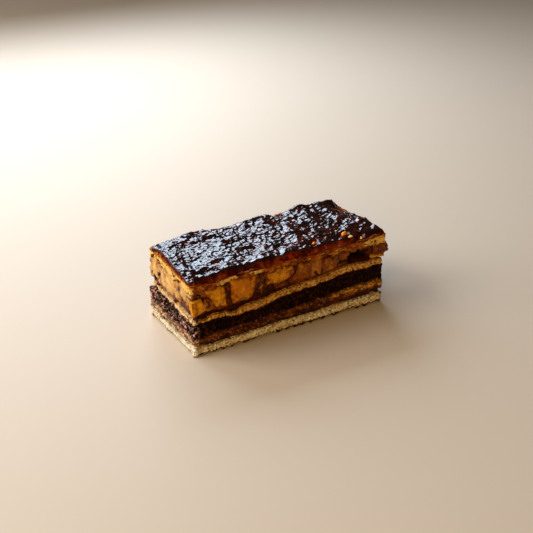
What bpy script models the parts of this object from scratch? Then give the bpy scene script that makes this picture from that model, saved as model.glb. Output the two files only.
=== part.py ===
"""A slice of flodni, the layered pastry of walnut, poppy seed and apple.

Units are metres and +Z is up. The slice stands on z = 0 with its middle over the origin.
X runs along it. The long cut face at -Y and the short cut face at -X are the shaped ones,
and the two hidden faces follow the same rules with seeded draws.
"""

import math
import random
from collections import namedtuple

import bmesh
import bpy
from mathutils import Matrix, Vector, noise
from mathutils.geometry import delaunay_2d_cdt

MM = 0.001

# Driving dimensions of the whole slice
LENGTH = 100 * MM
WIDTH = 44 * MM
CORNER = 0.9 * MM

# Clearance between two layers, at the cut faces and deep inside
EDGE_GAP = 0.3 * MM
INNER_GAP = 0.6 * MM
GAP_FADE = 6 * MM

# Spacing of the points round a layer and across its flat sides
RIM_SPACING = 2.2 * MM
CORE_SPACING = 4 * MM
GRID = (7.5 * MM, 6.6 * MM)
GLAZE_GRID = (3.3 * MM, 3.2 * MM)
GRID_MARGIN = 3.4 * MM

# How the knife left each side: crags of this size, other ones on each band and layer, and
# a rim that is rounded and ragged
CRAG = 2.6 * MM
BAND_STEP = 2.2
LAYER_STEP = 5.7
FINER = 1.9
RIM_ROUND = 0.22 * MM
RIM_RAGGED = 0.12 * MM

# The slow rise and fall that all seams share
SAG = 34 * MM
SAG_DEPTH = 0.5 * MM

# thick: at the left end, the middle and the right end.
# left, right: how far the end stands out at its front and back corner. front, back: the
# same for the long faces. All in millimetres.
Layer = namedtuple("Layer", "name thick left right front back bands bulge ragged colour rough")
LAYERS = (
    Layer("bottom_pastry", (4.0, 4.8, 5.2), (0.1, 0.3), (0.2, 0.2), 0.1, 0.1, 2, 0.0, 0.5,
          (0.74, 0.55, 0.31), 0.8),
    Layer("lower_plum_jam", (1.2, 2.0, 2.8), (-0.2, 0.0), (0.0, 0.0), -0.3, -0.3, 1, 0.0, 0.4,
          (0.035, 0.009, 0.006), 0.35),
    Layer("walnut_filling", (4.2, 4.2, 5.4), (-0.1, 0.5), (0.2, 0.2), 0.0, 0.0, 2, 0.1, 0.9,
          (0.33, 0.17, 0.07), 0.75),
    Layer("poppy_filling", (6.4, 7.4, 7.0), (-0.1, 0.2), (0.1, 0.1), 0.0, 0.0, 3, 0.1, 1.1,
          (0.022, 0.013, 0.012), 0.7),
    Layer("middle_pastry", (2.2, 3.0, 3.2), (0.1, -1.2), (-0.4, -0.6), 0.0, -0.1, 2, 0.1, 0.7,
          (0.62, 0.36, 0.12), 0.75),
    Layer("upper_plum_jam", (2.0, 1.8, 1.4), (-0.4, -1.5), (-0.4, -0.3), -0.4, -0.5, 1, 0.0, 0.5,
          (0.05, 0.012, 0.008), 0.3),
    Layer("apple_filling", (12.4, 10.0, 6.8), (-1.2, -2.2), (-1.0, -1.2), -1.1, -1.1, 3, 0.2, 1.0,
          (0.50, 0.24, 0.05), 0.35),
    Layer("top_pastry", (2.2, 2.2, 3.2), (0.8, -1.1), (0.6, 0.3), 0.0, 0.1, 2, 0.1, 0.8,
          (0.60, 0.32, 0.10), 0.75),
    Layer("glaze", (2.2, 2.4, 2.4), (1.5, -1.2), (1.0, 0.4), 0.3, 0.3, 2, 0.4, 0.7,
          (0.030, 0.010, 0.007), 0.15),
)
APPLE = 6
TOP_PASTRY = 7
GLAZE = 8

# Local rises of the seam under a layer, near the long front face: the layer's number,
# the place along X, the half width and the rise, in millimetres.
FOLDS = (
    (5, -46, 5, -1.1),
    (4, -30, 4.5, -1.1),
    (5, -30, 4.2, -2.2),
    (4, -19, 9.5, -2.0),
    (5, -18, 9, -1.3),
    (4, 30, 9, 0.9),
    (5, 30, 9, 1.3),
    (6, 30, 12, 1.4),
    (7, -26, 7, 1.1),
    (8, -26, 7, 0.5),
)
FOLD_FULL_Y = -15 * MM
FOLD_NONE_Y = -2 * MM

# The glaze's top: waves, and a droop at the back left corner
WAVE = 9 * MM
WAVE_DEPTH = 1.15 * MM
DROOP = 1.8 * MM
DROOP_REACH = 14 * MM

# Apple pieces on the long front face: from and to along X, from and to in height, how far
# the piece stands out, how much wider it is at the top, how far its top leans along X.
# All in millimetres, but for the widening, which is a share.
FRONT_APPLES = (
    (-49.5, -39.5, 20.8, 28.0, 0.2, 0.0, 0.0),
    (-48.5, -43.0, 27.0, 32.4, -0.5, 0.0, 0.0),
    (-42.5, -33.5, 20.6, 32.4, 0.2, 0.25, -1.6),
    (-32.5, -20.0, 20.6, 33.6, 0.4, 0.16, 0.0),
    (-19.0, -12.0, 25.0, 31.0, -0.6, 0.0, 0.6),
    (-13.0, 0.0, 26.0, 33.0, 0.1, 0.0, 0.0),
    (0.5, 9.5, 25.2, 32.0, 0.2, 0.0, 0.8),
    (10.0, 25.0, 24.6, 31.6, 0.0, 0.0, 0.0),
    (26.0, 33.0, 26.4, 31.2, -0.5, 0.0, 0.0),
    (43.5, 52.2, 25.2, 31.4, 0.5, 0.0, 0.6),
)
# The same on the short left face, along Y
LEFT_APPLES = (
    (-20.5, -9.0, 24.0, 32.0, 0.3, 0.1, 0.0),
    (-8.0, 13.5, 20.4, 31.8, 0.4, -0.1, 1.2),
    (13.5, 21.0, 21.6, 32.6, -0.6, 0.0, -0.8),
)
APPLE_DEPTH = 8.5 * MM
CUT_OFF = 1 * MM
APPLE_MARGIN = 0.35 * MM
LUMP = 0.12
BOXINESS = 3.4
HIDDEN_APPLE = (8 * MM, 12.5 * MM)
HIDDEN_SEED = 31

# A hollow in the apple layer's front face, where no piece fills it
HOLLOW_X = 38.5 * MM
HOLLOW_HALF = 5.5 * MM
HOLLOW_DEPTH = 2.6 * MM

# Nut crumbs set in the glaze: place, heading in degrees, and length, width and height
CRUMBS = (
    (30.9, -17.0, 15, 4.0, 2.6, 2.0),
    (32.7, -19.6, -30, 2.4, 1.7, 1.3),
    (38.2, -20.6, 50, 1.9, 1.4, 1.1),
    (14.2, -17.0, 25, 2.2, 1.5, 1.2),
)
CRUMB_RISE = 0.2


def thickness(layer, x):
    """The layer's thickness at x, a parabola through its three given ones."""
    left, middle, right = layer.thick
    along = x / (LENGTH / 2)
    curve = (left + right) / 2 - middle
    return (middle + (right - left) / 2 * along + curve * along * along) * MM


def fade(value, none, full):
    """0 where value reaches none, 1 where it reaches full, and smooth between."""
    share = min(1, max(0, (value - none) / (full - none)))
    return share * share * (3 - 2 * share)


def level(number, x, y):
    """The height of the seam under the layer of this number."""
    height = sum(thickness(layer, x) for layer in LAYERS[:number])
    height += SAG_DEPTH * number / len(LAYERS) * noise.noise(Vector((x / SAG, y / SAG, 0)))
    for seam, place, half, rise in FOLDS:
        if seam == number:
            away = (x - place * MM) / (half * MM)
            height += rise * MM * math.exp(-away * away) * fade(y, FOLD_NONE_Y, FOLD_FULL_Y)
    return height


def clearance(x, y):
    """The gap at a seam, which grows from the cut faces inwards."""
    inside = min(LENGTH / 2 - abs(x), WIDTH / 2 - abs(y))
    return EDGE_GAP + (INNER_GAP - EDGE_GAP) * fade(inside, 0, GAP_FADE)


def underside(number, x, y):
    return level(number, x, y) + clearance(x, y) / 2 if number else 0


def topside(number, x, y):
    return level(number + 1, x, y) - clearance(x, y) / 2


def glaze_top(x, y):
    """The glaze's uneven surface, lower towards the back left corner."""
    corner = math.hypot(x + LENGTH / 2, y - WIDTH / 2)
    wave = WAVE_DEPTH * noise.noise(Vector((x / WAVE, y / WAVE, 4.2)))
    return level(GLAZE + 1, x, y) + wave - DROOP * fade(corner, DROOP_REACH, 0)


def outline(spacing):
    """Points and outward directions round the slice's rectangle, whose corners are cut off."""
    for turn in range(4):
        across, along = (LENGTH, WIDTH) if turn % 2 == 0 else (WIDTH, LENGTH)
        facing = Vector((math.cos(turn * math.pi / 2), math.sin(turn * math.pi / 2)))
        sideways = Vector((-facing.y, facing.x))
        run = along - 2 * CORNER
        steps = round(run / spacing)
        for step in range(steps + 1):
            yield facing * across / 2 + sideways * run * (step / steps - 0.5), facing


def spread(layer, point):
    """Where the layer's own outline runs, for a point of the slice's outline."""
    u = point.x / LENGTH + 0.5
    v = point.y / WIDTH + 0.5
    left = layer.left[0] * (1 - v) + layer.left[1] * v
    right = layer.right[0] * (1 - v) + layer.right[1] * v
    shift = Vector((u * right - (1 - u) * left, v * layer.back - (1 - v) * layer.front))
    return point + shift * MM


def hollow(point):
    """How far the apple core draws back from the front face."""
    if point.y > 0:
        return 0
    away = (point.x - HOLLOW_X) / HOLLOW_HALF
    return HOLLOW_DEPTH * math.exp(-away * away)


def rings(number, spacing, top):
    """The layer's side as rings of points, from its lower rim to its upper one."""
    layer = LAYERS[number]
    rows = []
    for band in range(layer.bands + 1):
        share = band / layer.bands
        depth = share * BAND_STEP + number * LAYER_STEP
        row = []
        for point, out in outline(spacing):
            grain = Vector((point.x / CRAG, point.y / CRAG, depth))
            crag = layer.ragged * noise.noise(grain) + layer.bulge * math.sin(math.pi * share)
            rag = 1 + noise.noise(grain * FINER)
            place = spread(layer, point) + out * crag * MM
            if band in (0, layer.bands):
                place -= out * RIM_ROUND * rag
            if number == APPLE:
                place -= out * hollow(point)
            low = underside(number, place.x, place.y)
            high = top(place.x, place.y) - RIM_RAGGED * layer.ragged * rag
            if number:
                low += RIM_RAGGED * layer.ragged * rag
            row.append(Vector((place.x, place.y, low + (high - low) * share)))
        rows.append(row)
    return rows


def grid_points(spacing):
    """A grid of points across the slice, kept clear of its rim."""
    counts = []
    for size, step in zip((LENGTH, WIDTH), spacing):
        counts.append(int((size / 2 - GRID_MARGIN) / step))
    for i in range(-counts[0], counts[0] + 1):
        for j in range(-counts[1], counts[1] + 1):
            yield i * spacing[0], j * spacing[1]


def add_cap(bm, ring, height, spacing, facing_up):
    """Closes a ring with triangles over a grid of points at the given height."""
    inner = [bm.verts.new((x, y, height(x, y))) for x, y in grid_points(spacing)]
    verts = list(ring) + inner
    flat = [Vector((vert.co.x, vert.co.y)) / MM for vert in verts]
    found = delaunay_2d_cdt(flat, [], [list(range(len(ring)))], 1, 1e-5)
    for face in found[2]:
        corners = [verts[found[3][index][0]] for index in face]
        bm.faces.new(corners if facing_up else corners[::-1])


def add_object(name, bm, colour, rough):
    """Makes the finished mesh an object with its own material."""
    mesh = bpy.data.meshes.new(name)
    bm.to_mesh(mesh)
    bm.free()
    material = bpy.data.materials.new(name)
    material.use_nodes = True
    shader = material.node_tree.nodes["Principled BSDF"]
    shader.inputs["Base Color"].default_value = (*colour, 1)
    shader.inputs["Roughness"].default_value = rough
    mesh.materials.append(material)
    obj = bpy.data.objects.new(name, mesh)
    slice_parts.objects.link(obj)
    return obj


def add_layer(number, spacing=RIM_SPACING, top=None, top_grid=GRID):
    """One layer as a closed slab, a loft between the seams below and above it."""
    layer = LAYERS[number]
    top = top or (lambda x, y: topside(number, x, y))
    bm = bmesh.new()
    rows = [[bm.verts.new(place) for place in row] for row in rings(number, spacing, top)]
    for lower, upper in zip(rows, rows[1:]):
        for here in range(len(lower)):
            bm.faces.new((lower[here - 1], lower[here], upper[here]))
            bm.faces.new((lower[here - 1], upper[here], upper[here - 1]))
    add_cap(bm, rows[0], lambda x, y: underside(number, x, y), GRID, False)
    add_cap(bm, rows[-1], top, top_grid, True)
    return add_object(layer.name, bm, layer.colour, layer.rough)


def rounded_box(name, subdivisions):
    """A closed ball pressed towards a box, from -1 to 1 each way."""
    bm = bmesh.new()
    bmesh.ops.create_icosphere(bm, subdivisions=subdivisions, radius=1)
    for vert in bm.verts:
        vert.co /= sum(abs(value) ** BOXINESS for value in vert.co) ** (1 / BOXINESS)
    mesh = bpy.data.meshes.new(name)
    bm.to_mesh(mesh)
    bm.free()
    return bpy.data.objects.new(name, mesh)


def apple_piece(spans, out, widening, lean, facing):
    """A piece of apple with a flat side where the knife cut it, on the face that looks
    along facing. Its first two spans run along that face and the other two are heights."""
    start, end, low, high = (value * MM for value in spans)
    across = LENGTH if facing.x else WIDTH
    along = Vector((abs(facing.y), abs(facing.x)))
    mirror = along.cross(facing)
    cut = across / 2 + out * MM
    piece = rounded_box("apple_piece", 2)
    for vert in piece.data.vertices:
        lump = 1 + LUMP * noise.noise(vert.co * FINER + Vector(spans[:3]))
        side, depth, rise = vert.co * lump
        side = side * mirror * (1 + widening * rise) * (end - start) / 2 + lean * MM * rise
        reach = min(cut, cut + CUT_OFF - APPLE_DEPTH * (1 - depth) / 2)
        place = facing * reach + along * ((start + end) / 2 + side)
        height = (low + high) / 2 + rise * (high - low) / 2
        floor = level(APPLE, place.x, place.y) + APPLE_MARGIN
        ceiling = level(TOP_PASTRY, place.x, place.y) - APPLE_MARGIN
        vert.co = (place.x, place.y, min(ceiling, max(floor, height)))
    return piece


def hidden_apples(length, draw):
    """Spans of apple pieces side by side along a face that isn't seen."""
    start = -length / 2 + draw.uniform(1, 2) * MM
    while start < length / 2 - HIDDEN_APPLE[1]:
        end = start + draw.uniform(*HIDDEN_APPLE)
        middle = (start + end) / 2
        low = level(APPLE, middle, 0) + draw.uniform(0.4, 3.0) * MM
        high = level(TOP_PASTRY, middle, 0) - draw.uniform(0.2, 1.2) * MM
        spans = [value / MM for value in (start, end, low, high)]
        yield spans, draw.uniform(-0.5, 0.4), draw.uniform(-0.1, 0.2), draw.uniform(-1, 1)
        start = end + draw.uniform(-0.6, 0.4) * MM


def apple_pieces():
    pieces = []
    for shown, facing in ((FRONT_APPLES, Vector((0, -1))), (LEFT_APPLES, Vector((-1, 0)))):
        for *spans, out, widening, lean in shown:
            pieces.append(apple_piece(spans, out, widening, lean, facing))
    draw = random.Random(HIDDEN_SEED)
    for length, facing in ((WIDTH, Vector((1, 0))), (LENGTH, Vector((0, 1)))):
        for spans, out, widening, lean in hidden_apples(length, draw):
            pieces.append(apple_piece(spans, out, widening, lean, facing))
    return pieces


def glaze_crumbs():
    """Crumbs half sunk in the glaze."""
    crumbs = []
    for x, y, heading, *sizes in CRUMBS:
        crumb = rounded_box("crumb", 1)
        centre = Vector((x, y, glaze_top(x * MM, y * MM) / MM + CRUMB_RISE * sizes[2]))
        turn = Matrix.Rotation(math.radians(heading), 4, "Z")
        halves = Matrix.Diagonal((*(size / 2 for size in sizes), 1))
        crumb.data.transform(Matrix.Scale(MM, 4) @ Matrix.Translation(centre) @ turn @ halves)
        crumbs.append(crumb)
    return crumbs


def fuse(target, pieces):
    """Joins the pieces to the target by one Boolean union, and removes them."""
    loose = bpy.data.collections.new("loose_pieces")
    bpy.context.scene.collection.children.link(loose)
    for piece in pieces:
        loose.objects.link(piece)
    union = target.modifiers.new("union", "BOOLEAN")
    union.operation = "UNION"
    union.operand_type = "COLLECTION"
    union.collection = loose
    union.solver = "EXACT"
    joined = bpy.data.meshes.new_from_object(
        target.evaluated_get(bpy.context.evaluated_depsgraph_get())
    )
    target.modifiers.remove(union)
    target.data = joined
    joined.name = target.name
    for piece in pieces:
        bpy.data.objects.remove(piece)
    bpy.data.collections.remove(loose)


for old in list(bpy.data.objects):
    bpy.data.objects.remove(old)
slice_parts = bpy.data.collections.new("flodni_slice")
bpy.context.scene.collection.children.link(slice_parts)

for number in range(APPLE):
    add_layer(number)
apple = add_layer(APPLE, CORE_SPACING)
fuse(apple, apple_pieces())
add_layer(TOP_PASTRY)
glaze = add_layer(GLAZE, RIM_SPACING, glaze_top, GLAZE_GRID)
fuse(glaze, glaze_crumbs())
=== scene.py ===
"""The looks of a slice of flodni, a cake of pastry sheets with walnut, poppy seed and apple.

Units are metres, +Z is up and the slice stands on z = 0. Each layer of the frame is copied,
given the fine relief that a knife leaves, and finished in its own material. What the frame
holds as one solid, the apple filling, is built up here from caramel and pieces of apple.
"""

import math
import random

import bmesh
import bpy
import numpy as np
from mathutils import Matrix, Vector, noise
from mathutils.bvhtree import BVHTree
from mathutils.kdtree import KDTree


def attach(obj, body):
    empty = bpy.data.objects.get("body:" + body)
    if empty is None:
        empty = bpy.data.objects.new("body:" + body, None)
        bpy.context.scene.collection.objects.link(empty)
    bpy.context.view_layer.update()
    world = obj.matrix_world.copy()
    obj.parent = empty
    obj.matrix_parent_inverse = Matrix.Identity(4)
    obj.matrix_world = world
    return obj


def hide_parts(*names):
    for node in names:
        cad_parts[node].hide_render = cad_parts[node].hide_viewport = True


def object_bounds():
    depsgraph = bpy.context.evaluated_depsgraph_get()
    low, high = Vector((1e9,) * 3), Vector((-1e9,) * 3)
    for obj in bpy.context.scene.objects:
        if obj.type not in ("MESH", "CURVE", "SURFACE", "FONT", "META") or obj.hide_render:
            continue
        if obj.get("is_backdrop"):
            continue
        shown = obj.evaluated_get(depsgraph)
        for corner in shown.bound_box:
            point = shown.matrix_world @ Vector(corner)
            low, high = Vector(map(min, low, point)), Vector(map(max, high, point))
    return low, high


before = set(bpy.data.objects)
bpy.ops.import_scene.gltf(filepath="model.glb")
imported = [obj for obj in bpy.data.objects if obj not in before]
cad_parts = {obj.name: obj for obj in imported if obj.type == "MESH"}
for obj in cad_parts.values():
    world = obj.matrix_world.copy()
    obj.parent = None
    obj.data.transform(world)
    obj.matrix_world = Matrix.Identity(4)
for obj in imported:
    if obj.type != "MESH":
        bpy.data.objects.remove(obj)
cad_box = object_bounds()

# ---- Bottom pastry -------------------------------------------------------------------------
# The sheet of short pastry that the whole cake is baked on, about 5 mm thick. The knife left
# its pale crumb open, full of small pores, and its underside is toasted where it met the tin;
# the dark line along its foot is partly painted contact shadow.

MM = 0.001
LENGTH = 100 * MM
WIDTH = 44 * MM
WELD = 0.002 * MM
# A face whose normal rises more than this lies level
LEVEL = 0.85
EASING_ROUNDS = 9
# How far each layer is drawn out upwards and downwards, to close the frame's seams
SEAM_GAP = 0.16 * MM
# Size and depth of the small wander and of the slow swell that all layers share
WOBBLE = (2.6 * MM, 0.45 * MM)
SWELL = (9 * MM, 0.4 * MM)
# Up to this height the wander fades out, so that the base stands flat
STEADY = 3 * MM
# How far the upper and lower rims of a cut side and its upright corners stand out, and how
# near a corner that sets in and is full
RIM_PUSH = 0.3 * MM
CORNER_PUSH = 0.7 * MM
CORNER_REACH = (2.4 * MM, 0.4 * MM)
# Places are drawn together by this much sideways, which makes the leaves of pastry lie flat
LEAF_STRETCH = (0.22, 0.22, 1.0)
# Where along X an inset layer is drawn in to twice its inset
DRAWN_END = (-48 * MM, -50 * MM)
# The lowest a point may lie: on the surface that the slice stands on
LOWEST = (-1.0, -1.0, 0.0)


def layer_copy(node, cuts, top_too=False):
    """A merged copy of a layer, its cut sides split into small faces and eased, and its top
    with them if it is top_too. Its points carry side, which is 1 on the cut sides, height,
    from 0 at its underside to 1 on top, and inland, the millimetres in from the rim."""
    bm = bmesh.new()
    bm.from_mesh(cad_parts[node].data)
    bmesh.ops.remove_doubles(bm, verts=bm.verts, dist=WELD)
    bm.normal_update()
    limit = 2 if top_too else LEVEL
    fine = [face for face in bm.faces if -LEVEL < face.normal.z < limit]
    edges = list({edge for face in fine for edge in face.edges})
    bmesh.ops.subdivide_edges(bm, edges=edges, cuts=cuts, use_grid_fill=True)
    bmesh.ops.triangulate(bm, faces=[face for face in bm.faces if len(face.verts) > 3])
    bm.normal_update()
    bm.verts.ensure_lookup_table()
    upright, under, over = set(), set(), set()
    for face in bm.faces:
        rise = face.normal.z
        group = under if rise < -LEVEL else over if rise > LEVEL else upright
        group.update(vert.index for vert in face.verts)
    points = np.array([vert.co for vert in bm.verts])
    pairs = np.array([[vert.index for vert in edge.verts] for edge in bm.edges])
    pairs = np.concatenate((pairs, pairs[:, ::-1]))
    member = np.zeros((3, len(points)), bool)
    for row, group in enumerate((upright, under, over)):
        member[row, list(group)] = True
    side, below, above = member
    rim = side & (below | (above & (not top_too)))
    eased = side | (above & top_too)
    here, there = pairs.T
    kept = eased[here] & eased[there] & (~rim[here] | rim[there])
    here, there = here[kept], there[kept]
    neighbours = np.bincount(here, minlength=len(points))
    moving = neighbours > 0
    for _ in range(EASING_ROUNDS):
        middle = np.zeros_like(points)
        np.add.at(middle, here, points[there])
        middle[moving] /= neighbours[moving, None]
        points[moving] += (middle[moving] - points[moving]) / 2
    for vert, place in zip(bm.verts, points):
        vert.co = place
    side_layer, height_layer, inland_layer = layers_of(bm, "side", "height", "inland")
    lower, upper = (ring_tree(points, group & upright) for group in (under, over))
    for vert in bm.verts:
        low, high = lower.find(vert.co)[0].z, upper.find(vert.co)[0].z
        share = (vert.co.z - low) / max(high - low, WELD)
        cap = 0.0 if vert.index in under else 1.0 if vert.index in over else share
        vert[height_layer] = min(1, max(0, cap))
        vert[side_layer] = 1.0 if side[vert.index] else 0.0
        away = upper.find(vert.co)[2] / MM
        vert[inland_layer] = 0.0 if vert[side_layer] else away
    return new_object(node + "_piece", bm)


def layers_of(bm, *names):
    """New numbers under these names for the mesh's points to carry."""
    for name in names:
        bm.verts.layers.float.new(name)
    return bm.verts.layers.float.values()


def ring_tree(points, members):
    """The points of a rim, to find the nearest one by its place seen from above."""
    tree = KDTree(len(members))
    for index in members:
        tree.insert(points[index], index)
    tree.balance()
    return tree


def linked(name, data):
    """A new object in the scene with this mesh, light or camera."""
    obj = bpy.data.objects.new(name, data)
    bpy.context.scene.collection.objects.link(obj)
    return obj


def new_object(name, bm):
    """A new object in the scene with the mesh that was built."""
    mesh = bpy.data.meshes.new(name)
    bm.to_mesh(mesh)
    bm.free()
    return linked(name, mesh)


class Value:
    """What comes out of a node. Arithmetic on values adds the nodes that work it out."""

    def __init__(self, socket):
        self.socket = socket
        self.tree = socket.id_data

    def __add__(self, other):
        return calc("ADD", self, other)

    def __sub__(self, other):
        return calc("SUBTRACT", self, other)

    def __rsub__(self, other):
        return calc("SUBTRACT", other, self)

    def __mul__(self, other):
        return calc("MULTIPLY", self, other)

    def __rtruediv__(self, other):
        return calc("DIVIDE", other, self)

    def __lt__(self, other):
        return calc("LESS_THAN", self, other)

    def __gt__(self, other):
        return calc("GREATER_THAN", self, other)

    def __abs__(self):
        return calc("ABSOLUTE", self)

    __rmul__ = __mul__


def put(tree, kind, values=(), **settings):
    """Adds a node and gives all that comes out of it. Its inputs are set to these values, or
    linked where they come from other nodes, by name or number."""
    node = tree.nodes.new(kind)
    for name, value in settings.items():
        setattr(node, name, value)
    for key, value in dict(values).items():
        if isinstance(value, Value):
            feed(value, node.inputs[key])
        else:
            node.inputs[key].default_value = value
    return [Value(socket) for socket in node.outputs]


def feed(value, socket):
    """Links a value to a node's input."""
    value.tree.links.new(value.socket, socket)


def is_vector(value):
    """Whether this is a vector or a colour, not a number."""
    if isinstance(value, Value):
        return value.socket.type != "VALUE"
    return isinstance(value, tuple)


def calc(operation, *values, clamp=False):
    """Works out a number, or a vector where one of the values is a vector."""
    tree = next(value.tree for value in values if isinstance(value, Value))
    if not any(map(is_vector, values)):
        return put(tree, "ShaderNodeMath", enumerate(values), operation=operation,
                   use_clamp=clamp)[0]
    values = [[value] * 3 if isinstance(value, float) else value for value in values]
    return put(tree, "ShaderNodeVectorMath", enumerate(values), operation=operation)[0]


def larger(first, second):
    """The larger of two values."""
    return calc("MAXIMUM", first, second)


def between(value, start, end, low=0.0, high=1.0):
    """Goes smoothly from low to high as value goes from start to end."""
    return put(value.tree, "ShaderNodeMapRange", enumerate((value, start, end, low, high)),
               interpolation_type="SMOOTHSTEP")[0]


def parts(vector):
    """A vector's three numbers."""
    return put(vector.tree, "ShaderNodeSeparateXYZ", {0: vector})


def upward(rise):
    """A vector that points straight up by rise."""
    return put(rise.tree, "ShaderNodeCombineXYZ", {2: rise})[0]


def noise_of(place, size, detail, seed=0.0, distortion=0.0):
    """Noise from 0 to 1 whose blotches have this size: a number and a vector."""
    values = {"Vector": place, "W": seed, "Scale": 1.0 / size, "Detail": detail,
              "Distortion": distortion}
    return put(place.tree, "ShaderNodeTexNoise", values, noise_dimensions="4D")


def cloud(*look):
    """Noise as a number."""
    return noise_of(*look)[0]


def drift(*look):
    """Noise as a vector."""
    return noise_of(*look)[1]


def swing(place, size, depth, detail, seed):
    """Noise that swings by depth to both sides of nothing."""
    return (cloud(place, size, detail, seed) * 4.0 - 2.0) * depth


def new_tree(name, **sizes):
    """A geometry tree and its inputs: the geometry, each size and the material."""
    tree = bpy.data.node_groups.new(name, "GeometryNodeTree")
    ends = tree.interface
    ends.new_socket("Geometry", in_out="INPUT", socket_type="NodeSocketGeometry")
    for size, value in sizes.items():
        socket = ends.new_socket(size, in_out="INPUT", socket_type="NodeSocketFloat")
        socket.default_value = value
    ends.new_socket("material", in_out="INPUT", socket_type="NodeSocketMaterial")
    ends.new_socket("Geometry", in_out="OUTPUT", socket_type="NodeSocketGeometry")
    given = tree.nodes.new("NodeGroupInput").outputs
    return tree, {socket.name: Value(socket) for socket in given}


def close_tree(geometry, material):
    """Ends a tree with its instances realized and its material set."""
    tree = geometry.tree
    whole = put(tree, "GeometryNodeRealizeInstances", {"Geometry": geometry})[0]
    done = put(tree, "GeometryNodeSetMaterial", {"Geometry": whole, "Material": material})[0]
    feed(done, tree.nodes.new("NodeGroupOutput").inputs[0])
    return tree


def placed(geometry, **where):
    """The geometry with its points moved."""
    return put(geometry.tree, "GeometryNodeSetPosition", {"Geometry": geometry, **where})[0]


def stored(geometry, name, value):
    """The geometry with a value that its points carry under this name."""
    values = {"Geometry": geometry, "Name": name, "Value": value}
    return put(geometry.tree, "GeometryNodeStoreNamedAttribute", values)[0]


def named(tree, name):
    """A value that the geometry's points carry."""
    return put(tree, "GeometryNodeInputNamedAttribute", {"Name": name})[0]


def cells(place, size, seed):
    """Voronoi cells of this size: the distance to the middle of a cell, and its own draw."""
    values = {"Vector": place, "W": seed, "Scale": 1.0 / size}
    away, draw, *_ = put(place.tree, "ShaderNodeTexVoronoi", values, voronoi_dimensions="4D")
    return away, parts(draw)[0]


def wobbled(place):
    """The wander that all layers share, so that their seams stay together: a small one each
    way, and a slow rise and fall."""
    wander = (drift(place, WOBBLE[0], 2.0) - 0.5) * (WOBBLE[1] * 2)
    rise = swing(place * (1.0, 1.0, 0.6), *SWELL, 1.0, 3.0)
    return (wander + upward(rise)) * between(parts(place)[2], 0.0, STEADY)


def cut_side_tree():
    """Relief for a cut side: crags, flaky leaves, clods and pits, each of its own size and
    depth, straight in and out."""
    tree, given = new_tree("cut_side", crag=1.0, crag_depth=0.0, leaf=1.0, leaf_depth=0.0,
                           clod=1.0, clod_depth=0.0, pit=1.0, pit_depth=0.0, pit_share=0.0,
                           inset=0.0, seed=0.0)
    place = put(tree, "GeometryNodeInputPosition")[0]
    facing = put(tree, "GeometryNodeInputNormal")[0]
    facing = calc("NORMALIZE", facing * (1.0, 1.0, 0.0))
    seed, height = given["seed"], named(tree, "height")
    crags = swing(place, given["crag"], given["crag_depth"], 3.0, seed)
    leaves = swing(place * LEAF_STRETCH, given["leaf"], given["leaf_depth"], 2.0, seed)
    clods = (0.45 - cells(place, given["clod"], seed)[0]) * given["clod_depth"]
    away, draw = cells(place, given["pit"], seed)
    pits = between(away, 0.62, 0.2) * (draw < given["pit_share"])
    x, y, _ = parts(place)
    inset = given["inset"] * between(x, *DRAWN_END, 1, 2)
    relief = crags + leaves + clods - pits * given["pit_depth"] - inset
    relief += between(abs(height * 2.0 - 1.0), 0.3, 1.0, 0.0, RIM_PUSH)
    corner = CORNER_PUSH
    for value, half in ((x, LENGTH / 2), (y, WIDTH / 2)):
        corner *= between(half - abs(value), *CORNER_REACH)
    relief = (relief + corner) * named(tree, "side")
    lift = upward(height * (2 * SEAM_GAP) - SEAM_GAP)
    moved = larger(place + facing * relief + lift + wobbled(place), LOWEST)
    marked = stored(given["Geometry"], "pit", pits)
    return close_tree(placed(marked, Position=moved), given["material"])


def grown(obj, tree, material, **sizes):
    """The mesh that the tree makes of the object with these inputs."""
    modifier = obj.modifiers.new(tree.name, "NODES")
    modifier.node_group = tree
    for socket in tree.interface.items_tree:
        if socket.in_out == "INPUT" and socket.name in sizes:
            modifier[socket.identifier] = sizes[socket.name]
        if socket.name == "material":
            modifier[socket.identifier] = material
    depsgraph = bpy.context.evaluated_depsgraph_get()
    mesh = bpy.data.meshes.new_from_object(
        obj.evaluated_get(depsgraph), preserve_all_data_layers=True, depsgraph=depsgraph)
    obj.modifiers.remove(modifier)
    mesh.shade_smooth()
    return mesh


def finished(obj, node):
    """Says what a piece rides on, and hides the part of the frame that it stands in for."""
    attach(obj, "root")
    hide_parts(node)
    return obj


def cut_piece(obj, node, material, **relief):
    """The object as a finished piece, with the knife's relief on its sides."""
    obj.data = grown(obj, cut_side, material, **relief)
    return finished(obj, node)


def srgb(red, green, blue):
    """A colour given as the eye reads it, from 0 to 255, as the linear one shaders take."""
    shares = [value / 255 for value in (red, green, blue)]
    return [((share + 0.055) / 1.055) ** 2.4 if share > 0.04 else share / 12.92
            for share in shares] + [1.0]


def mixed(share, first, second):
    """The first colour with this share of the second."""
    values = {0: share, 6: first, 7: second}
    return put(share.tree, "ShaderNodeMix", values, data_type="RGBA")[2]


def painted(name, roughness, **constants):
    """A new material with these constants, its tree, its shader and its coordinates."""
    material = bpy.data.materials.new(name)
    material.use_nodes = True
    tree = material.node_tree
    shader = tree.nodes["Principled BSDF"]
    shader.inputs["Roughness"].default_value = roughness
    for socket, value in constants.items():
        shader.inputs[socket.replace("_", " ")].default_value = value
    return material, tree, shader, own_place(tree)


def own_place(tree):
    """The object's own coordinates."""
    return put(tree, "ShaderNodeTexCoord")[3]


def bumped(shader, height, distance, strength=1.0):
    """Shades a fine relief of this height and distance."""
    values = {"Height": height, "Distance": distance, "Strength": strength}
    feed(put(height.tree, "ShaderNodeBump", values)[0], shader.inputs["Normal"])


def carried(tree, name):
    """A number that the mesh carries."""
    return put(tree, "ShaderNodeAttribute", attribute_name=name)[2]


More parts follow.
